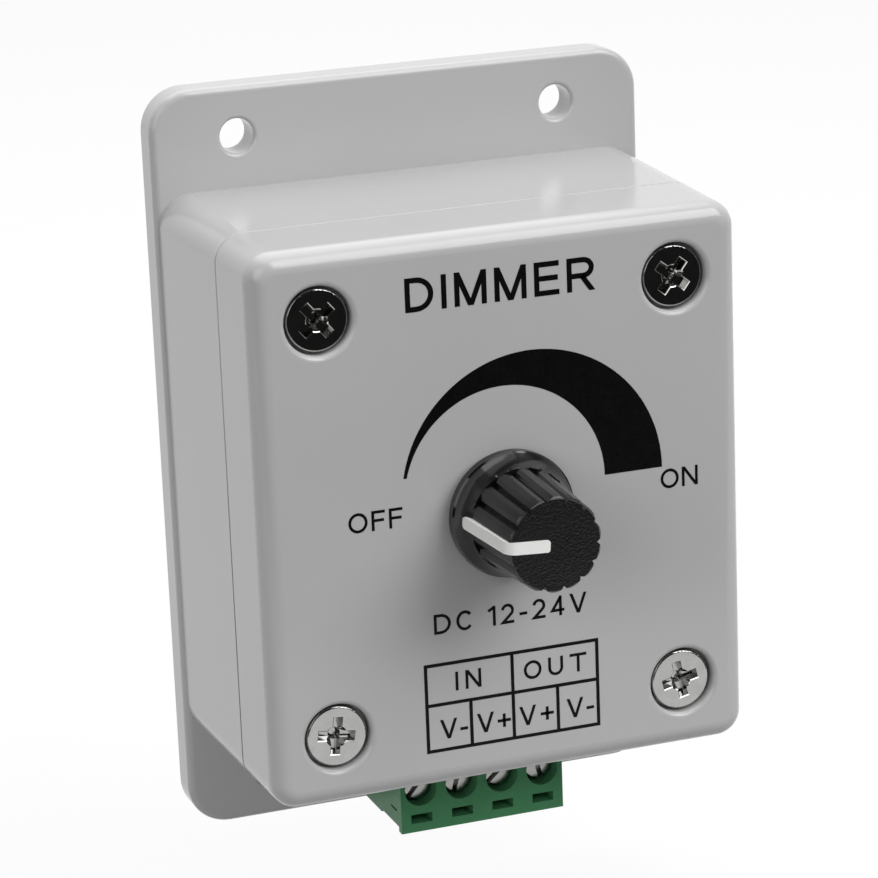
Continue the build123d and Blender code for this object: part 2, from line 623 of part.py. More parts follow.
def shaft_section(diameter, across_flat):
    """Round section with one flat side, on the side away from the pointer."""
    radius = diameter / 2
    keep = Pos(across_flat / 2 - radius, 0) * Rectangle(across_flat, diameter)
    return Circle(radius) & keep


def make_pot_shaft():
    flat_start = SHAFT_TIP - SHAFT_FLAT_LENGTH
    shaft = rod(0, 0, ROTOR_BACK, flat_start, SHAFT_DIAMETER)
    tip = extrude(Pos(0, 0, flat_start) * shaft_section(SHAFT_DIAMETER, SHAFT_ACROSS_FLAT),
                  amount=SHAFT_FLAT_LENGTH - SNUG)
    return shaft + tip


def make_pot_rotor():
    rotor = rod(0, 0, ROTOR_BACK, ROTOR_FRONT, ROTOR_DIAMETER)
    rotor += block(-ROTOR_DIAMETER / 2 - STOP_REACH, 0, -STOP_WIDTH / 2, STOP_WIDTH / 2,
                   ROTOR_BACK, ROTOR_FRONT)
    return rotor - rod(0, 0, ROTOR_BACK, ROTOR_FRONT, SHAFT_DIAMETER + 2 * SNUG)


def make_pot_wiper():
    ring_radius = SHAFT_DIAMETER / 2 + SLIDE_GAP
    ring = rod(0, 0, ROTOR_FRONT, ROTOR_FRONT + WIPER_THICKNESS, 2 * (ring_radius + WIPER_WIDTH))
    ring -= rod(0, 0, ROTOR_FRONT, ROTOR_FRONT + WIPER_THICKNESS, 2 * ring_radius)
    foot = block(-WIPER_WIDTH / 2, WIPER_WIDTH / 2, ring_radius + WIPER_WIDTH / 2, ring_radius + WIPER_WIDTH,
                 ROTOR_FRONT, WAFER_BACK - FIT)
    for turn in (0, 180):
        ring += Rot(0, 0, turn) * foot
    return ring


# Knob

def pointer_strip(play):
    """L-shaped strip over the grip's side and top, towards -x, grown all round by the play."""
    top = KNOB_TOP + POINTER_PROUD
    edge = GRIP_TOP_DIAMETER / 2 + POINTER_PROUD
    under = KNOB_TOP - POINTER_SEAT - play
    inside = POINTER_INNER_END - play
    foot = KNOB_BASE + SKIRT_HEIGHT + POINTER_FOOT_HEIGHT - play
    foot_inside = POINTER_FOOT_REACH - POINTER_FOOT_DEPTH - play
    outline = Polyline((inside, top), (edge, top), (POINTER_FOOT_REACH, foot), (foot_inside, foot),
                       (edge - POINTER_SEAT - play, under), (inside, under), close=True)
    section = Plane.XZ * Rot(0, 180, 0) * make_face(outline)
    return extrude(section, amount=POINTER_WIDTH / 2 + play, both=True)


def make_knob_pointer():
    strip = pointer_strip(0)
    bend = strip.faces().sort_by(Axis.Z)[-1].edges().sort_by(Axis.X)[0]
    strip = fillet(bend, POINTER_BEND)
    foot = strip.faces().sort_by(Axis.Z)[0].edges().filter_by(Axis.X)
    strip = fillet(foot, POINTER_FOOT_ROUND)
    inner_end = strip.faces().sort_by(Axis.X)[-1].edges().filter_by(Axis.Z)
    return fillet(inner_end, POINTER_ROUND)


def make_knob():
    skirt = SKIRT_DIAMETER / 2
    grip = GRIP_BASE_DIAMETER / 2
    grip_top = GRIP_TOP_DIAMETER / 2
    rim = KNOB_BASE + SKIRT_HEIGHT
    grip_start = rim + FLARE_HEIGHT
    flare_middle = ((skirt - SKIRT_EDGE + grip) / 2 - FLARE_HOLLOW, (rim + grip_start) / 2 - FLARE_HOLLOW)
    outline = [
        Line((0, KNOB_BASE), (skirt, KNOB_BASE)),
        Line((skirt, KNOB_BASE), (skirt, rim - SKIRT_EDGE)),
        Line((skirt, rim - SKIRT_EDGE), (skirt - SKIRT_EDGE, rim)),
        ThreePointArc((skirt - SKIRT_EDGE, rim), flare_middle, (grip, grip_start)),
        Line((grip, grip_start), (grip_top, KNOB_TOP - GRIP_EDGE)),
        Line((grip_top, KNOB_TOP - GRIP_EDGE), (grip_top - GRIP_EDGE, KNOB_TOP)),
        Line((grip_top - GRIP_EDGE, KNOB_TOP), (0, KNOB_TOP)),
        Line((0, KNOB_TOP), (0, KNOB_BASE)),
    ]
    knob = revolve(Plane.XZ * make_face(outline), Axis.Z)
    knob -= flute_cutters(grip, grip_start, grip_top)
    hollow = rod(0, 0, KNOB_BASE, KNOB_BASE + HOLLOW_HEIGHT, SKIRT_DIAMETER - 2 * SKIRT_WALL)
    knob -= hollow - rod(0, 0, KNOB_BASE, KNOB_BASE + HOLLOW_HEIGHT, HUB_DIAMETER)
    bore = shaft_section(SHAFT_DIAMETER + 2 * SNUG, SHAFT_ACROSS_FLAT + 2 * SNUG)
    knob -= extrude(Pos(0, 0, SHAFT_TIP - SHAFT_FLAT_LENGTH + SNUG) * bore, amount=SHAFT_FLAT_LENGTH - SNUG)
    knob -= rod(0, 0, KNOB_BASE, SHAFT_TIP - SHAFT_FLAT_LENGTH + SNUG, SHAFT_DIAMETER + 2 * SNUG)
    return knob - pointer_strip(SNUG)


def flute_cutters(grip, grip_start, grip_top):
    """Bars along the grip's slope that leave lobes between them, all round except under the pointer."""
    top = Vector(grip_top, 0, KNOB_TOP)
    slope = (Vector(grip, 0, grip_start) - top).normalized()
    across = Plane(origin=top - slope * FLUTE_OVERCUT, x_dir=(0, 1, 0), z_dir=slope)
    side = [(FLUTE_WIDTH / 2, -LOBE_DROP), (LOBE_WIDTH / 2, 0), (LOBE_WIDTH / 2, FLUTE_OVERCUT)]
    other_side = [(-x, y) for x, y in reversed(side)]
    notch = make_face(Polyline((0, -FLUTE_DEPTH), *side, *other_side, close=True))
    length = FLUTE_OVERCUT + (KNOB_TOP - grip_start) / -slope.Z + FLUTE_RUNOUT
    cutter = extrude(across * notch, amount=length)
    return [Rot(0, 0, 180 + index * 360 / FLUTES) * cutter for index in range(1, FLUTES)]


# Terminal plug

def make_plug_housing():
    half = PLUG_WIDTH / 2
    lip_back = PLUG_FRONT - PLUG_LIP
    step_front = PLUG_FRONT - PLUG_STEP_DEPTH
    plug = block(-half, half, PLUG_END, SHOULDER, PLUG_BACK, PLUG_FRONT)
    plug -= block(-half, half, PLUG_END, PLUG_END + PLUG_LIP_DROP, step_front, lip_back)
    plug -= block(-half, half, PLUG_END, PLUG_END + PLUG_STEP_DROP, PLUG_BACK, step_front)
    plug += block(-NOSE_HALF, NOSE_HALF, SHOULDER, NOSE_TIP, NOSE_BACK, NOSE_FRONT)
    for x in WAY_X:
        plug -= clamp_chamber(x)
    for side in (-1, 1):
        slit_y = PLUG_END + SLIT_FROM_END
        slit_front = PLUG_FRONT - SLIT_FROM_FRONT
        plug -= block(side * half - SLIT_WIDTH, side * half + SLIT_WIDTH, slit_y - SLIT_WIDTH / 2,
                      slit_y + SLIT_WIDTH / 2, slit_front - SLIT_LENGTH, slit_front)
    return plug


def clamp_chamber(x):
    """Hollow of one pole: sleeve cavity, screw well, wire entry, contact channel and front slot."""
    cavity_half = SLEEVE_WIDTH / 2 + FIT
    entry_half = ENTRY_WIDTH / 2
    channel_half = BAR_WIDTH / 2 + FIT
    slot_y = PLUG_END + SLOT_FROM_END
    hollow = block(x - cavity_half, x + cavity_half, CAVITY_LOW, CAVITY_HIGH,
                   SLEEVE_BACK - FIT, CLAMP_CEILING)
    hollow += rod(x, CLAMP_Y, CLAMP_CEILING, PLUG_FRONT, CLAMP_WELL_DIAMETER)
    hollow += block(x - entry_half, x + entry_half, PLUG_END, CAVITY_LOW, SLEEVE_BACK, BAR_FRONT)
    hollow += block(x - channel_half, x + channel_half, CAVITY_HIGH, NOSE_TIP,
                    BLADE_BACK - FIT, BAR_FRONT + FIT)
    hollow += block(x - SLOT_WIDTH / 2, x + SLOT_WIDTH / 2, slot_y - SLOT_HEIGHT / 2,
                    slot_y + SLOT_HEIGHT / 2, PLUG_FRONT - SLOT_DEPTH, PLUG_FRONT)
    return hollow


def make_clamp_sleeve(x):
    half = SLEEVE_WIDTH / 2
    inside = half - SLEEVE_SIDE
    low = CLAMP_Y - SLEEVE_LENGTH / 2
    high = CLAMP_Y + SLEEVE_LENGTH / 2
    sleeve = block(x - half, x + half, low, high, SLEEVE_BACK, SLEEVE_FRONT)
    sleeve -= block(x - inside, x + inside, low, high, SLEEVE_BACK + SLEEVE_FLOOR, SLEEVE_FRONT - SLEEVE_ROOF)
    return sleeve - rod(x, CLAMP_Y, SLEEVE_FRONT - SLEEVE_ROOF, SLEEVE_FRONT, CLAMP_SCREW_DIAMETER + 2 * FIT)


def make_clamp_screw(x, turn):
    head_front = CLAMP_HEAD_BACK + CLAMP_HEAD_HEIGHT
    head = rod(0, 0, CLAMP_HEAD_BACK, head_front, CLAMP_HEAD_DIAMETER)
    head = fillet(front_edges(head), CLAMP_HEAD_EDGE)
    slot = block(-CLAMP_HEAD_DIAMETER, CLAMP_HEAD_DIAMETER, -CLAMP_SLOT_WIDTH / 2, CLAMP_SLOT_WIDTH / 2,
                 head_front - CLAMP_SLOT_DEPTH, head_front)
    screw = head - slot + rod(0, 0, BAR_FRONT + SNUG, CLAMP_HEAD_BACK, CLAMP_SCREW_DIAMETER)
    return Pos(x, CLAMP_Y, 0) * Rot(0, 0, turn) * screw


def make_plug_contacts():
    half = BAR_WIDTH / 2
    contacts = []
    for x in WAY_X:
        bar = block(x - half, x + half, CAVITY_LOW + FIT, NOSE_TIP - FIT, BAR_BACK, BAR_FRONT)
        bridge = block(x - half, x + half, SHOULDER, SHOULDER + BAR_THICKNESS, BLADE_BACK, BAR_BACK)
        blade = block(x - half, x + half, SHOULDER, NOSE_TIP - FIT, BLADE_BACK, BLADE_FRONT)
        contacts.append(bar + bridge + blade)
    return contacts


# Header socket

def make_header_shroud():
    half = NOSE_HALF + SLIDE_GAP
    outer = half + HEADER_WALL
    front = NOSE_FRONT + SLIDE_GAP
    shroud = block(-outer, outer, SOCKET_MOUTH, HEADER_TOP, BOARD_FRONT, front + HEADER_WALL)
    shroud -= block(-half, half, SOCKET_MOUTH, SOCKET_FLOOR, NOSE_BACK - SLIDE_GAP, front)
    hole_half = PIN_SIZE / 2 + SNUG
    for x in WAY_X:
        shroud -= block(x - hole_half, x + hole_half, SOCKET_FLOOR, HEADER_TOP,
                        PIN_BACK - SNUG, PIN_FRONT + SNUG)
    return shroud


def make_header_pins():
    half = PIN_SIZE / 2
    pins = []
    for x in WAY_X:
        blade = block(x - half, x + half, SOCKET_MOUTH + PIN_SHORT, PIN_LEG_Y + half, PIN_BACK, PIN_FRONT)
        leg = block(x - half, x + half, PIN_LEG_Y - half, PIN_LEG_Y + half, LEAD_END, PIN_FRONT)
        pins.append(blade + leg)
    return pins


NODES = {
    "rear_housing": make_rear_housing(),
    "front_cover": make_front_cover(),
    "cover_screws": make_cover_screws(),
    "circuit_board": make_circuit_board(),
    "board_screws": make_board_screws(),
    "switch_transistor": make_switch_transistor(),
    "transistor_tab": make_transistor_tab(),
    "timer_chip": make_timer_chip(),
    "chip_legs": make_chip_legs(),
    "filter_capacitor": make_filter_capacitor(),
    "flyback_diode": make_flyback_diode(),
    "resistors": make_resistors(),
    "film_capacitors": make_film_capacitors(),
    "pot_can": make_pot_can(),
    "pot_wafer": make_pot_wafer(),
    "pot_bushing": make_pot_bushing(),
    "pot_terminals": make_pot_terminals(),
    "pot_shaft": make_pot_shaft(),
    "pot_rotor": make_pot_rotor(),
    "pot_wiper": make_pot_wiper(),
    "knob": make_knob(),
    "knob_pointer": make_knob_pointer(),
    "header_shroud": make_header_shroud(),
    "header_pins": make_header_pins(),
    "plug_housing": make_plug_housing(),
    "plug_contacts": make_plug_contacts(),
}
for way, (way_x, way_turn) in enumerate(zip(WAY_X, CLAMP_SLOT_TURNS), start=1):
    NODES[f"clamp_sleeve_{way}"] = make_clamp_sleeve(way_x)
    NODES[f"clamp_screw_{way}"] = make_clamp_screw(way_x, way_turn)

STAND_UP = Plane.XZ.location
ON_SHAFT = Pos(0, -SHAFT_DROP, 0)
KNOB_TURN = Rot(0, 0, KNOB_REST_TURN)
TURNING_NODES = ("knob", "knob_pointer", "pot_shaft", "pot_rotor", "pot_wiper")
os.makedirs("parts", exist_ok=True)
for name, shape in NODES.items():
    place = STAND_UP
    if name in TURNING_NODES:
        place = STAND_UP * ON_SHAFT * KNOB_TURN
    elif name.startswith("pot_"):
        place = STAND_UP * ON_SHAFT
    solids = shape if isinstance(shape, list) else shape.solids()
    stood = [place * solid for solid in solids]
    export_step(Compound(children=stood) if len(stood) > 1 else stood[0], f"parts/{name}.step")
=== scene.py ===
"""LED dimmer switch: finishes, printed marks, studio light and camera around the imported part."""

import math

import bpy
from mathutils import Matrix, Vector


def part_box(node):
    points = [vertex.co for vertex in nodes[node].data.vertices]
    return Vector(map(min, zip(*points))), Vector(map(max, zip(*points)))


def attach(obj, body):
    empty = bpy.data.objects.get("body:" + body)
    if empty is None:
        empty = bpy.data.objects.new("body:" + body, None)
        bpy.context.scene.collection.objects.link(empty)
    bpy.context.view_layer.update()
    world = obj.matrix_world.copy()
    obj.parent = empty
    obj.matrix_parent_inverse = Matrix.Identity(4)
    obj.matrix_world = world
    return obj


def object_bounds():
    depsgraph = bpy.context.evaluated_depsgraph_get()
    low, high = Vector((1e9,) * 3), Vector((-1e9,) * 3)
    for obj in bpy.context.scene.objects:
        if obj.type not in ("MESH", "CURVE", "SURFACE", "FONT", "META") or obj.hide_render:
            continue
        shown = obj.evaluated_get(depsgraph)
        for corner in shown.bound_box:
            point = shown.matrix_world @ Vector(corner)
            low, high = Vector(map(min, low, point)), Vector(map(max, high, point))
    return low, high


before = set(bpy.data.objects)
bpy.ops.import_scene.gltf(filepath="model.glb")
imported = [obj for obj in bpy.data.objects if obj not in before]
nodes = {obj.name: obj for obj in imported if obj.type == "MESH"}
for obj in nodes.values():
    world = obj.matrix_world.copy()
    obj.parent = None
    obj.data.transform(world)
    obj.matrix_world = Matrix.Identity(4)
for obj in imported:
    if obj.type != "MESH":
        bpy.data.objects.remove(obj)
cad_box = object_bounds()

MM = 0.001
WHITE = (1.0, 1.0, 1.0, 1.0)

# The cover's front face, which carries the printed marks, and the ink on it
FACE_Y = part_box("front_cover")[0][1]
INK_PROUD = 0.015 * MM
INK_SUNK = 0.010 * MM

# The groove between the two halves of the case: its middle and half its width
SEAM_Y = FACE_Y + 10.975 * MM
SEAM_HALF = 0.17 * MM

# Painted shade in the groove: heights where it is darkest and where it ends, how strongly it darkens and its
# colour
SEAM_SHADE_HEIGHTS = (-15.0 * MM, 28.0 * MM)
SEAM_SHADE_STRENGTH = 0.65
SEAM_SHADE_COLOUR = (0.03, 0.03, 0.03, 1.0)

# Where the knob's matt top turns satin, behind its top, and its flare turns glossy, in front of the cover
CROWN_EDGE = (0.03 * MM, 0.10 * MM)
FLARE_EDGE = (4.6 * MM, 3.6 * MM)

# Words: text, left and right ends, baseline, height of the capitals and width of the stroke, in mm
WORDS = {
    "print_title": ("DIMMER", -10.92, 11.16, 23.36, 3.80, 0.60),
    "print_off": ("OFF", -18.45, -12.20, -0.44, 2.28, 0.33),
    "print_on": ("ON", 18.39, 22.92, -0.49, 2.28, 0.33),
    "print_rating": ("DC 12-24V", -9.10, 9.10, -13.40, 2.32, 0.34),
    "print_in": ("IN", -6.83, -3.77, -20.27, 2.20, 0.34),
    "print_out": ("OUT", 1.31, 8.88, -20.37, 2.20, 0.34),
    "print_in_minus": ("V-", -8.84, -5.55, -25.75, 2.30, 0.35),
    "print_in_plus": ("V+", -4.46, -0.42, -25.75, 2.30, 0.35),
    "print_out_plus": ("V+", 0.60, 4.76, -25.75, 2.30, 0.35),
    "print_out_minus": ("V-", 6.32, 9.64, -25.75, 2.30, 0.35),
}

# Width of each letter as a share of the capitals' height; an I is as wide as its stroke
LETTER_WIDTHS = {
    "D": 0.86, "M": 0.98, "E": 0.77, "R": 0.88, "O": 0.97, "F": 0.69, "N": 0.85, "C": 0.87, "U": 0.82,
    "T": 0.92, "V": 0.89, "1": 0.42, "2": 0.66, "4": 0.70, "-": 0.40, "+": 0.69, " ": 0.16,
}
ARC_STEPS = 16

# The dimming scale, in mm: a crescent between two circles, level at its wide end
SCALE_LEVEL = 2.14
SCALE_OUTER_X, SCALE_OUTER_RADIUS = 3.2, 15.4
SCALE_INNER_X, SCALE_INNER_RADIUS = -0.1, 11.78
SCALE_TIP_HEIGHT = 2.8
SCALE_STEPS = 72

# The terminal table under the rating, in mm
TABLE_LEFT, TABLE_RIGHT = -10.50, 10.36
TABLE_TOP, TABLE_ROW, TABLE_BOTTOM = -16.75, -21.62, -27.20
TABLE_DIVIDERS = (-5.11, -0.06, 5.29)
TABLE_LINE = 0.40

# The camera, in metres, degrees and mm of lens
CAMERA_PLACE = (-0.13391, -0.38761, 0.11708)
CAMERA_TURN = (73.893, 2.160, -20.304)
CAMERA_LENS = 147.37
CAMERA_NEAR = 0.01

# The floor, in metres: its side, its front edge and how far it lies under the part
FLOOR_SIDE = 1.6
FLOOR_FRONT = -0.15
FLOOR_DROP = 12.5 * MM

# The floor's share of plain white, and its paper where it is seen and where it only lights the part
FLOOR_GLOW = 0.90
FLOOR_WHITE = (0.90, 0.90, 0.90)
FLOOR_BOUNCE = (0.28, 0.28, 0.28)

# The room: its even light, how dark reflections see the camera's side, and where along Y that ends
AMBIENT = 0.20
ROOM_FRONT = (0.015, 0.015, 0.015)
ROOM_EDGE = (-0.30, 0.15)

# Soft lights: place and size in metres, power in watts, and whether reflections show them
LAMPS = {
    "key": ((0.65, -0.85, 0.95), (1.00, 1.00), 16.0, True),
    "top": ((0.0, 0.10, 0.60), (0.56, 0.90), 3.3, True),
    "fill": ((-0.85, -0.75, 0.42), (0.80, 0.80), 3.8, True),
    "side": ((-0.60, 0.60, 0.06), (0.40, 0.30), 1.3, False),
}
LAMP_AIM = (0.0, -0.03, 0.0)


def add_node(tree, kind, inputs=None, **settings):
    """A shader node with its settings made and its inputs set or linked."""
    node = tree.nodes.new("ShaderNode" + kind)
    for key, value in settings.items():
        setattr(node, key, value)
    for key, value in (inputs or {}).items():
        if isinstance(value, bpy.types.NodeSocket):
            tree.links.new(value, node.inputs[key])
        else:
            node.inputs[key].default_value = value
    return node


def ramp(tree, factor, stops, interpolation="LINEAR"):
    """A colour ramp from (position, colour) stops; its colour output."""
    node = add_node(tree, "ValToRGB", {"Fac": factor})
    node.color_ramp.interpolation = interpolation
    elements = node.color_ramp.elements
    while len(elements) < len(stops):
        elements.new(0.5)
    for element, (position, colour) in zip(elements, stops):
        element.position = position
        element.color = (*colour, 1.0)
    return node.outputs["Color"]


def remap(tree, value, low, high, to_low, to_high, smooth=False):
    """The value carried from one range to another, held at the ends."""
    node = add_node(
        tree,
        "MapRange",
        {"Value": value, "From Min": low, "From Max": high, "To Min": to_low, "To Max": to_high},
        interpolation_type="SMOOTHSTEP" if smooth else "LINEAR",
    )
    return node.outputs["Result"]


def noise(tree, place, size, detail=2.0):
    """Noise whose features are about size mm across."""
    node = add_node(tree, "TexNoise", {"Vector": place, "Scale": 1.0 / (size * MM), "Detail": detail})
    return node.outputs["Fac"]


def bump(tree, height, depth):
    """A relief of the given depth in mm."""
    return add_node(tree, "Bump", {"Height": height, "Distance": depth * MM}).outputs["Normal"]


def shade(colour, factor):
    """A colour made lighter or darker."""
    return tuple(min(channel * factor, 1.0) for channel in colour)


def new_finish(name, metallic=0.0):
    """An empty material; its tree, its shader and the place on the part."""
    material = bpy.data.materials.new(name)
    material.use_nodes = True
    tree = material.node_tree
    shader = tree.nodes["Principled BSDF"]
    shader.inputs["Metallic"].default_value = metallic
    place = add_node(tree, "TexCoord").outputs["Object"]
    return material, tree, shader, place


def surface(name, colour, roughness, mottle=0.05, patch=6.0, grain=0.15, relief=0.002, spread=0.04):
    """A finish with a mottled colour, an uneven gloss and a fine grain."""
    material, tree, shader, place = new_finish(name)
    cloud = noise(tree, place, patch, detail=4.0)
    tone = ramp(tree, cloud, [(0.3, shade(colour, 1.0 - mottle)), (0.7, shade(colour, 1.0 + mottle))])
    tree.links.new(tone, shader.inputs["Base Color"])
    gloss = remap(tree, noise(tree, place, grain * 4.0), 0.3, 0.7, roughness - spread, roughness + spread)
    tree.links.new(gloss, shader.inputs["Roughness"])
    tree.links.new(bump(tree, noise(tree, place, grain), relief), shader.inputs["Normal"])
    return material


def dulled(material, level):
    """The finish with a weaker gloss."""
    material.node_tree.nodes["Principled BSDF"].inputs["Specular IOR Level"].default_value = level
    return material


def case_finish():
    """Pale grey moulded plastic with a fine satin skin, and painted shade low in the groove where its halves
    meet.
    """
    grey = (0.46, 0.46, 0.46)
    material = surface(
        "case_plastic", grey, 0.17, mottle=0.02, patch=25.0, grain=0.25, relief=0.0008, spread=0.02
    )
    tree = material.node_tree
    colour = tree.nodes["Principled BSDF"].inputs["Base Color"]
    place = add_node(tree, "TexCoord").outputs["Object"]
    axes = add_node(tree, "SeparateXYZ", {"Vector": place}).outputs
    away = add_node(tree, "Math", {0: axes["Y"], 1: SEAM_Y}, operation="SUBTRACT").outputs["Value"]
    away = add_node(tree, "Math", {0: away}, operation="ABSOLUTE").outputs["Value"]
    # Painted shade along the groove between the halves: darkest low down, fading out toward the top, laid
    # over the plain plastic colour.
    most = remap(tree, axes["Z"], *SEAM_SHADE_HEIGHTS, SEAM_SHADE_STRENGTH, 0.0)
    seam_shade = remap(tree, away, SEAM_HALF * 0.9, SEAM_HALF * 1.1, most, 0.0)
    unshaded = colour.links[0].from_socket
    tone = add_node(tree, "Mix", {"Factor": seam_shade, "A": unshaded, "B": SEAM_SHADE_COLOUR}, data_type="RGBA")
    tree.links.new(tone.outputs["Result"], colour)
    return material


def knob_finish():
    """Black moulded plastic: matt on top, satin on the ridges and glossy on the flare and skirt."""
    material, tree, shader, place = new_finish("knob_plastic")
    depth = add_node(tree, "SeparateXYZ", {"Vector": place}).outputs["Y"]
    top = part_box("knob")[0][1]
    crown = remap(tree, depth, top + CROWN_EDGE[0], top + CROWN_EDGE[1], 1.0, 0.0)
    flare = remap(tree, depth, FACE_Y - FLARE_EDGE[0], FACE_Y - FLARE_EDGE[1], 0.0, 1.0)
    cloud = noise(tree, place, 3.0, detail=4.0)
    tone = ramp(tree, cloud, [(0.3, (0.003, 0.003, 0.0033)), (0.7, (0.006, 0.006, 0.0064))])
    tree.links.new(tone, shader.inputs["Base Color"])
    satin = remap(tree, crown, 0.0, 1.0, 0.20, 0.32)
    polish = remap(tree, flare, 0.0, 1.0, 1.0, 0.45)
    gloss = add_node(tree, "Math", {0: satin, 1: polish}, operation="MULTIPLY")
    tree.links.new(gloss.outputs["Value"], shader.inputs["Roughness"])
    rough_skin = remap(tree, crown, 0.0, 1.0, 0.05, 1.0)
    pebble = add_node(tree, "Math", {0: noise(tree, place, 0.26), 1: rough_skin}, operation="MULTIPLY")
    tree.links.new(bump(tree, pebble.outputs["Value"], 0.065), shader.inputs["Normal"])
    return material


def metal_finish(name, colour, roughness):
    """Bare or plated metal with a cloudy sheen and fine scratches."""
    material, tree, shader, place = new_finish(name, metallic=1.0)
    cloud = noise(tree, place, 1.6, detail=3.0)
    tone = ramp(tree, cloud, [(0.3, shade(colour, 0.92)), (0.7, shade(colour, 1.06))])
    tree.links.new(tone, shader.inputs["Base Color"])
    gloss = remap(tree, cloud, 0.3, 0.7, roughness * 0.9, roughness * 1.15)
    tree.links.new(gloss, shader.inputs["Roughness"])
    stretched = add_node(
        tree, "Mapping", {"Vector": place, "Scale": (1.0, 1.0, 6.0), "Rotation": (0.0, 0.7, 0.0)}
    )
    scratches = noise(tree, stretched.outputs["Vector"], 0.5)
    tree.links.new(bump(tree, scratches, 0.003), shader.inputs["Normal"])
    return material


def board_finish():
    """Green solder mask over copper tracks."""
    material, tree, shader, place = new_finish("board_mask")
    swirl = noise(tree, place, 5.0, detail=1.0)
    tracks = add_node(
        tree, "TexWave", {"Vector": place, "Scale": 60.0, "Distortion": 6.0}, wave_profile="SIN"
    )
    line = remap(tree, tracks.outputs["Fac"], 0.45, 0.55, 0.0, 1.0, smooth=True)
    tone = ramp(tree, line, [(0.0, (0.010, 0.085, 0.035)), (1.0, (0.025, 0.150, 0.060))])
    tree.links.new(tone, shader.inputs["Base Color"])
    tree.links.new(remap(tree, swirl, 0.3, 0.7, 0.28, 0.40), shader.inputs["Roughness"])
    tree.links.new(bump(tree, line, 0.035), shader.inputs["Normal"])
    return material


def banded_finish(name, node, axis, body, bands):
    """A moulded body with coloured bands across one axis; bands are (start, colour) along the node's box."""
    material, tree, shader, place = new_finish(name)
    low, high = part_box(node)
    number = "XYZ".index(axis)
    along = add_node(tree, "SeparateXYZ", {"Vector": place}).outputs[axis]
    along = remap(tree, along, low[number], high[number], 0.0, 1.0)
    tone = ramp(tree, along, [(0.0, body)] + list(bands), interpolation="CONSTANT")
    tree.links.new(tone, shader.inputs["Base Color"])
    tree.links.new(remap(tree, noise(tree, place, 0.6), 0.3, 0.7, 0.28, 0.42), shader.inputs["Roughness"])
    tree.links.new(bump(tree, noise(tree, place, 0.3), 0.004), shader.inputs["Normal"])
    return material


def ink_finish():
    """Screen-printed black ink, slightly uneven."""
    ink = surface("print_ink", (0.004, 0.004, 0.004), 0.30, mottle=0.2, patch=1.5, grain=0.12, relief=0.001)
    return dulled(ink, 0.10)


def dress_nodes():
    """Gives every node of the part its finish."""
    case = case_finish()
    steel = metal_finish("screw_plate", (0.42, 0.42, 0.41), 0.12)
    zinc = metal_finish("clamp_zinc", (0.32, 0.32, 0.31), 0.20)
    tin = metal_finish("tinned_metal", (0.70, 0.70, 0.69), 0.30)
    brass = metal_finish("contact_brass", (0.72, 0.52, 0.24), 0.30)
    alloy = metal_finish("shaft_alloy", (0.66, 0.66, 0.65), 0.26)
    green = surface("terminal_plastic", (0.072, 0.245, 0.114), 0.34, mottle=0.06, grain=0.2, relief=0.002)
    green = dulled(green, 0.08)
    white = surface("pointer_plastic", (0.87, 0.87, 0.85), 0.32, mottle=0.02, grain=0.2, relief=0.001)
    epoxy = surface("epoxy_black", (0.018, 0.018, 0.019), 0.50, mottle=0.15, grain=0.1, relief=0.006)
    brown = (0.16, 0.085, 0.040)
    phenolic = surface("phenolic_brown", brown, 0.48, mottle=0.18, patch=1.5, grain=0.2, relief=0.006)
    film = surface("film_red", (0.30, 0.055, 0.030), 0.24, mottle=0.08, patch=2.0, grain=0.5, relief=0.010)
    sleeve = banded_finish(
        "capacitor_sleeve", "filter_capacitor", "X", (0.014, 0.020, 0.050), [(0.80, (0.55, 0.56, 0.58))]
    )
    black = (0.016, 0.016, 0.017)
    ring = [(0.62, (0.60, 0.60, 0.59)), (0.69, black)]
    diode = banded_finish("diode_body", "flyback_diode", "X", black, ring)
    buff = (0.55, 0.42, 0.26)
    stripes = [(0.40, (0.20, 0.07, 0.02)), (0.44, buff), (0.50, (0.02, 0.02, 0.02)), (0.54, buff)]
    carbon = banded_finish("resistor_body", "resistors", "X", buff, stripes)
    finishes = {
        "rear_housing": case,
        "front_cover": case,
        "cover_screws": steel,
        "circuit_board": board_finish(),
        "board_screws": steel,
        "switch_transistor": epoxy,
        "transistor_tab": tin,
        "timer_chip": epoxy,
        "chip_legs": tin,
        "filter_capacitor": sleeve,
        "flyback_diode": diode,
        "resistors": carbon,
        "film_capacitors": film,
        "pot_can": tin,
        "pot_wafer": phenolic,
        "pot_bushing": zinc,
        "pot_terminals": tin,
        "pot_shaft": alloy,
        "pot_rotor": phenolic,
        "pot_wiper": brass,
        "knob": knob_finish(),
        "knob_pointer": white,
        "header_shroud": green,
        "header_pins": brass,
        "plug_housing": green,
        "plug_contacts": brass,
    }
    for name, node in nodes.items():
        material = zinc if name.startswith("clamp_") else finishes[name]
        node.data.materials.clear()
        node.data.materials.append(material)


def ink_piece(name, vertices, faces, material):
    """A printed piece from points of the face in mm (x, z), given the ink's thickness."""
    count = len(vertices)
    front = [(x * MM, FACE_Y - INK_PROUD, z * MM) for x, z in vertices]
    back = [(x * MM, FACE_Y + INK_SUNK, z * MM) for x, z in vertices]
    hidden = [tuple(count + index for index in reversed(face)) for face in faces]
    edges = {edge for face in faces for edge in zip(face, face[1:] + face[:1])}
    rims = [
        (end, start, count + start, count + end) for start, end in sorted(edges) if (end, start) not in edges
    ]
    mesh = bpy.data.meshes.new(name)
    mesh.from_pydata(front + back, [], faces + hidden + rims)
    mesh.update()
    piece = bpy.data.objects.new(name, mesh)
    bpy.context.scene.collection.objects.link(piece)
    mesh.materials.append(material)
    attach(piece, "enclosure")


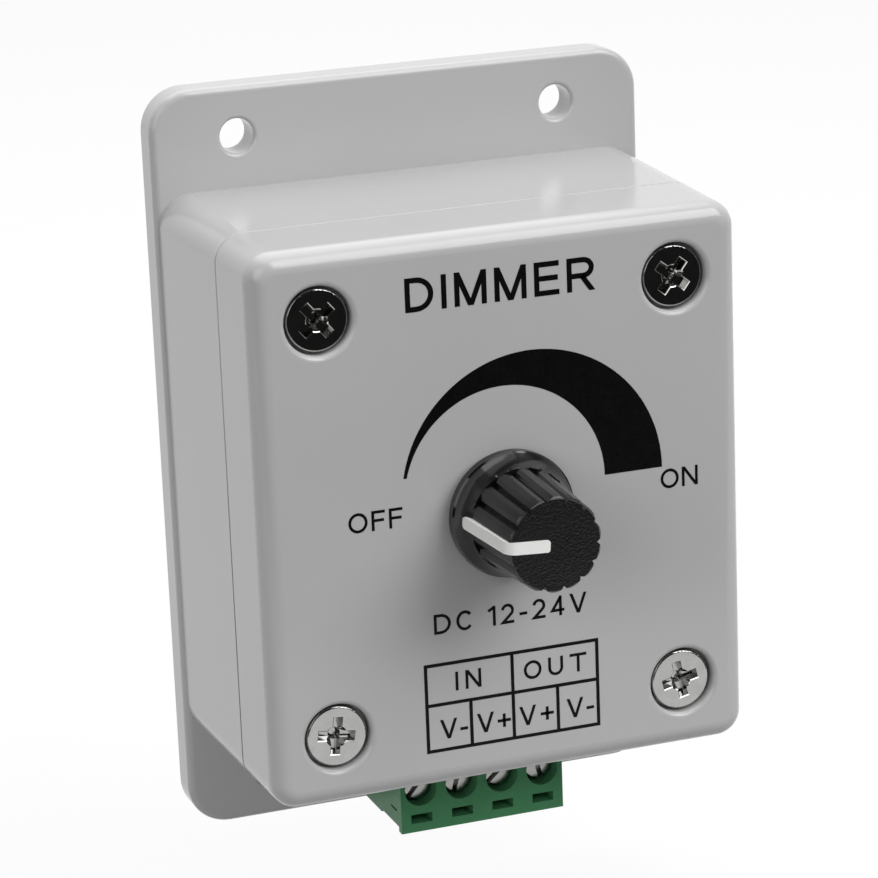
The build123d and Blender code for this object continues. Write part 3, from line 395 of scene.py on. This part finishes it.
def arc(x, z, wide, tall, start, end):
    """Points of an ellipse around (x, z), by half its width and height, between two angles in degrees."""
    steps = max(2, round(ARC_STEPS * abs(end - start) / 180))
    angles = [math.radians(start + (end - start) * step / steps) for step in range(steps + 1)]
    return [(x + wide * math.cos(angle), z + tall * math.sin(angle)) for angle in angles]


def letter_strokes(letter, w, h, p):
    """Middle lines of a letter's open strokes and closed loops, by its width, height and pen's width."""
    left, right, foot, head, middle = p / 2, w - p / 2, p / 2, h - p / 2, w / 2
    wide = middle - left
    bar = 0.51 * h
    strokes, loops = [], []
    if letter == "O":
        loops = [arc(middle, h / 2, wide, head - h / 2, 0, 360)[:-1]]
    elif letter == "D":
        bend = 0.40 * w
        loops = [[(left, head), (left, foot)] + arc(bend, h / 2, right - bend, head - h / 2, -90, 90)]
    elif letter == "C":
        strokes = [arc(middle, h / 2, wide, head - h / 2, 40, 320)]
    elif letter == "I":
        strokes = [[(left, 0), (left, h)]]
    elif letter == "M":
        strokes = [[(left, 0), (left, h), (middle, 0), (right, h), (right, 0)]]
    elif letter == "N":
        strokes = [[(left, 0), (left, h), (right, 0), (right, h)]]
    elif letter == "V":
        strokes = [[(0.55 * p, h), (middle, 0), (w - 0.55 * p, h)]]
    elif letter == "U":
        strokes = [[(left, h)] + arc(middle, foot + wide, wide, wide, 180, 360) + [(right, h)]]
    elif letter == "T":
        strokes = [[(0, head), (w, head)], [(middle, 0), (middle, h - p)]]
    elif letter == "E":
        strokes = [[(w, head), (left, head), (left, foot), (w, foot)], [(p, bar), (0.95 * w, bar)]]
    elif letter == "F":
        strokes = [[(w, head), (left, head), (left, 0)], [(p, bar), (0.92 * w, bar)]]
    elif letter == "R":
        waist = 0.46 * h
        bowl = (head - waist) / 2
        bend = 0.58 * w
        strokes = [[(left, 0), (left, h)]]
        curve = arc(bend, head - bowl, right - bend - 0.04 * w, bowl, 90, -90)
        strokes += [[(p, head)] + curve + [(p, waist)]]
        strokes += [[(0.52 * w, waist), (w - 0.62 * p, 0)]]
    elif letter == "1":
        strokes = [[(right, 0), (right, h)], [(0.1 * w, 0.76 * h), (right, 0.93 * h)]]
    elif letter == "2":
        tall = 0.27 * h
        strokes = [arc(middle, head - tall, wide, tall, 170, -35) + [(0.6 * p, foot), (w, foot)]]
    elif letter == "4":
        stem, shelf = 0.72 * w, 0.28 * h
        strokes = [[(stem, 0), (stem, h)], [(stem, head), (0.55 * p, shelf), (stem, shelf)]]
        strokes += [[(stem, shelf), (w, shelf)]]
    elif letter == "-":
        strokes = [[(0, 0.39 * h), (w, 0.39 * h)]]
    elif letter == "+":
        cross = 0.46 * h
        strokes = [[(0, cross), (w, cross)], [(middle, cross - middle), (middle, cross + middle)]]
    return strokes, loops


def meet(first, second):
    """Where two lines, each given by two points, cross; None if they run side by side."""
    (ax, az), (bx, bz) = first
    (cx, cz), (dx, dz) = second
    turn = (bx - ax) * (dz - cz) - (bz - az) * (dx - cx)
    if abs(turn) < 1e-9:
        return None
    share = ((cx - ax) * (dz - cz) - (cz - az) * (dx - cx)) / turn
    return ax + share * (bx - ax), az + share * (bz - az)


def beside(points, half):
    """The lines to the left of each run of a stroke, half a stroke away."""
    lines = []
    for (ax, az), (bx, bz) in zip(points, points[1:]):
        reach = half / math.hypot(bx - ax, bz - az)
        across, up = (az - bz) * reach, (bx - ax) * reach
        lines.append(((ax + across, az + up), (bx + across, bz + up)))
    return lines


def stroke_side(points, half, height):
    """One side of an open stroke, cut level at the letter's foot and head."""
    lines = beside(points, half)

    def level(line, z):
        return meet(line, ((0.0, z), (1.0, z))) or line[0]

    def tip(line, end, point):
        return level(line, end[1]) if end[1] in (0, height) else point

    side = [tip(lines[0], points[0], lines[0][0])]
    for before, after in zip(lines, lines[1:]):
        corner = meet(before, after) or after[0]
        limit = min(max(corner[1], 0.0), height)
        side += [corner] if abs(corner[1] - limit) < 1e-9 else [level(before, limit), level(after, limit)]
    return side + [tip(lines[-1], points[-1], lines[-1][1])]


def loop_side(points, half):
    """One side of a closed stroke."""
    lines = beside(points + points[:1], half)
    return [meet(before, after) or after[0] for before, after in zip(lines[-1:] + lines, lines)]


def print_word(name, text, left, right, base, height, pen, material):
    """A word in plain capitals, spaced evenly between its two ends."""
    widths = [pen if letter == "I" else LETTER_WIDTHS[letter] * height for letter in text]
    gap = (right - left - sum(widths)) / (len(text) - 1)
    vertices, faces = [], []
    start = left
    for letter, width in zip(text, widths):
        strokes, loops = letter_strokes(letter, width, height, pen)
        for points in strokes:
            outline = stroke_side(points[::-1], pen / 2, height) + stroke_side(points, pen / 2, height)
            first = len(vertices)
            vertices += [(start + x, base + z) for x, z in outline]
            faces.append(tuple(range(first, len(vertices))))
        for points in loops:
            first, count = len(vertices), len(points)
            for side in (loop_side(points, -pen / 2), loop_side(points, pen / 2)):
                vertices += [(start + x, base + z) for x, z in side]
            for step in range(count):
                after = (step + 1) % count
                faces.append((first + step, first + after, first + count + after, first + count + step))
        start += width + gap
    ink_piece(name, vertices, faces, material)


def print_scale(material):
    """The crescent that widens toward full brightness."""
    vertices = []
    faces = []
    outer_end = math.pi - math.asin(SCALE_TIP_HEIGHT / SCALE_OUTER_RADIUS)
    inner_end = math.pi - math.asin(SCALE_TIP_HEIGHT / SCALE_INNER_RADIUS)
    for step in range(SCALE_STEPS + 1):
        for middle, radius, end in (
            (SCALE_OUTER_X, SCALE_OUTER_RADIUS, outer_end),
            (SCALE_INNER_X, SCALE_INNER_RADIUS, inner_end),
        ):
            angle = end * step / SCALE_STEPS
            vertices.append((middle + radius * math.cos(angle), SCALE_LEVEL + radius * math.sin(angle)))
        if step:
            at = 2 * step
            faces.append((at - 2, at, at + 1, at - 1))
    ink_piece("print_scale", vertices, faces, material)


def print_table(material):
    """The frame and lines of the terminal table, as bars that meet in one print."""
    half = TABLE_LINE / 2
    bars = [
        (TABLE_LEFT, TABLE_TOP - TABLE_LINE, TABLE_RIGHT, TABLE_TOP),
        (TABLE_LEFT, TABLE_BOTTOM, TABLE_RIGHT, TABLE_BOTTOM + TABLE_LINE),
        (TABLE_LEFT, TABLE_BOTTOM + TABLE_LINE, TABLE_LEFT + TABLE_LINE, TABLE_TOP - TABLE_LINE),
        (TABLE_RIGHT - TABLE_LINE, TABLE_BOTTOM + TABLE_LINE, TABLE_RIGHT, TABLE_TOP - TABLE_LINE),
        (TABLE_LEFT + TABLE_LINE, TABLE_ROW - half, TABLE_RIGHT - TABLE_LINE, TABLE_ROW + half),
    ]
    for place in TABLE_DIVIDERS:
        bars.append((place - half, TABLE_BOTTOM + TABLE_LINE, place + half, TABLE_ROW - half))
    middle = TABLE_DIVIDERS[1]
    bars.append((middle - half, TABLE_ROW + half, middle + half, TABLE_TOP - TABLE_LINE))
    vertices = []
    faces = []
    for left, low, right, high in bars:
        start = len(vertices)
        vertices += [(left, low), (right, low), (right, high), (left, high)]
        faces.append((start, start + 1, start + 2, start + 3))
    ink_piece("print_table", vertices, faces, material)


def print_marks():
    """Everything printed on the cover's face."""
    ink = ink_finish()
    for name, word in WORDS.items():
        print_word(name, *word, ink)
    print_scale(ink)
    print_table(ink)


def seen_directly(tree):
    """One where the camera, a reflection or a clear piece looks straight at the surface."""
    path = add_node(tree, "LightPath").outputs
    sight = path["Is Camera Ray"]
    for ray in ("Is Glossy Ray", "Is Transmission Ray"):
        sight = add_node(tree, "Math", {0: sight, 1: path[ray]}, operation="MAXIMUM").outputs["Value"]
    return sight


def lay_floor():
    """A white table that takes the part's shadow, clear from below, and low enough for the pulled plug."""
    back = FLOOR_FRONT + FLOOR_SIDE
    half = FLOOR_SIDE / 2
    level = cad_box[0][2] - FLOOR_DROP
    mesh = bpy.data.meshes.new("floor")
    corners = ((-half, FLOOR_FRONT), (half, FLOOR_FRONT), (half, back), (-half, back))
    mesh.from_pydata([(x, y, level) for x, y in corners], [], [(0, 1, 2, 3)])
    floor = bpy.data.objects.new("floor", mesh)
    bpy.context.scene.collection.objects.link(floor)
    material = bpy.data.materials.new("floor_white")
    material.use_nodes = True
    tree = material.node_tree
    tree.nodes.clear()
    sight = seen_directly(tree)
    tone = ramp(tree, sight, [(0.0, FLOOR_BOUNCE), (1.0, FLOOR_WHITE)])
    paper = add_node(tree, "BsdfDiffuse", {"Color": tone}).outputs["BSDF"]
    glow = add_node(tree, "Emission", {"Color": WHITE, "Strength": 1.0}).outputs["Emission"]
    share = add_node(tree, "Math", {0: sight, 1: FLOOR_GLOW}, operation="MULTIPLY").outputs["Value"]
    table = add_node(tree, "MixShader", {0: share, 1: paper, 2: glow}).outputs["Shader"]
    clear = add_node(tree, "BsdfTransparent").outputs["BSDF"]
    below = add_node(tree, "NewGeometry").outputs["Backfacing"]
    one_sided = add_node(tree, "MixShader", {0: below, 1: table, 2: clear}).outputs["Shader"]
    add_node(tree, "OutputMaterial", {"Surface": one_sided})
    mesh.materials.append(material)


def light_world():
    """A white room to look at, dark on the camera's side in reflections, with a low even light."""
    world = bpy.data.worlds.new("studio")
    bpy.context.scene.world = world
    world.use_nodes = True
    tree = world.node_tree
    tree.nodes.clear()
    direction = add_node(tree, "TexCoord").outputs["Generated"]
    toward = add_node(tree, "SeparateXYZ", {"Vector": direction}).outputs["Y"]
    facing = remap(tree, toward, *ROOM_EDGE, 0.0, 1.0, smooth=True)
    room = ramp(tree, facing, [(0.0, ROOM_FRONT), (1.0, WHITE[:3])])
    camera = add_node(tree, "LightPath").outputs["Is Camera Ray"]
    tone = add_node(tree, "Mix", {"Factor": camera, "A": room, "B": WHITE}, data_type="RGBA")
    seen = add_node(tree, "Background", {"Color": tone.outputs["Result"], "Strength": 1.0})
    even = add_node(tree, "Background", {"Color": WHITE, "Strength": AMBIENT})
    choice = {0: seen_directly(tree), 1: even.outputs["Background"], 2: seen.outputs["Background"]}
    mixed = add_node(tree, "MixShader", choice)
    add_node(tree, "OutputWorld", {"Surface": mixed.outputs["Shader"]})


def softbox(name, place, size, power, mirrored):
    """A rectangular soft light turned toward the part, which glossy surfaces may show."""
    lamp = bpy.data.lights.new(name, "AREA")
    lamp.shape = "RECTANGLE"
    lamp.size, lamp.size_y = size
    lamp.energy = power
    box = bpy.data.objects.new(name, lamp)
    bpy.context.scene.collection.objects.link(box)
    box.location = place
    box.visible_glossy = mirrored
    heading = [end - start for start, end in zip(place, LAMP_AIM)]
    across = math.hypot(heading[0], heading[1])
    box.rotation_euler = (math.atan2(across, -heading[2]), 0.0, math.atan2(-heading[0], heading[1]))


def light_studio():
    """A key high on the right, a box overhead, and weak ones in front and behind on the left."""
    for name, lamp in LAMPS.items():
        softbox(name, *lamp)


def place_camera():
    """The camera where the photograph was taken from."""
    lens = bpy.data.cameras.new("camera")
    lens.lens = CAMERA_LENS
    lens.clip_start = CAMERA_NEAR
    camera = bpy.data.objects.new("camera", lens)
    bpy.context.scene.collection.objects.link(camera)
    camera.location = CAMERA_PLACE
    camera.rotation_euler = [math.radians(angle) for angle in CAMERA_TURN]
    bpy.context.scene.camera = camera


dress_nodes()
print_marks()
lay_floor()
light_world()
light_studio()
place_camera()
bpy.context.scene.view_settings.view_transform = "Standard"
